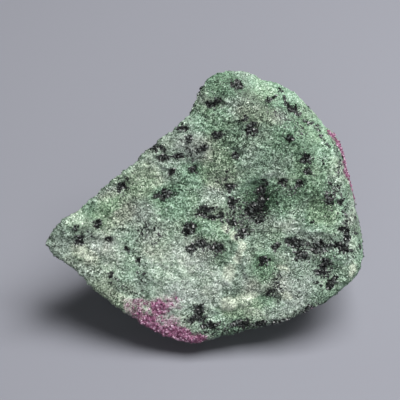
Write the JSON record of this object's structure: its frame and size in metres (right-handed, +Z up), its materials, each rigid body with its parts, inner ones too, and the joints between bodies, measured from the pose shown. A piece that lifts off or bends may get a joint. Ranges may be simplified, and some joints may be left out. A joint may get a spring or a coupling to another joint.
{
  "type": "ruby in zoisite stone",
  "caption": "Rough palm-sized stone of green zoisite with black hornblende patches and pink ruby, broken to a broad sloping face and lying on its worn flat underside.",
  "frame": {"origin": "on the plane that the stone lies on, under the middle of its bounding box", "axes": "+X along the stone's length, from its thin tip to its thick end; +Y away from the foot of the broad face, towards the back; +Z up"},
  "size_m": [0.0616, 0.0432, 0.0435],
  "materials": {
    "ruby_in_zoisite": "freshly broken and sugary: pale to deep green zoisite grains, near-black glossy hornblende patches and granular pink ruby"
  },
  "bodies": {
    "root": {"stone": "ruby_in_zoisite"}
  },
  "joints": []
}
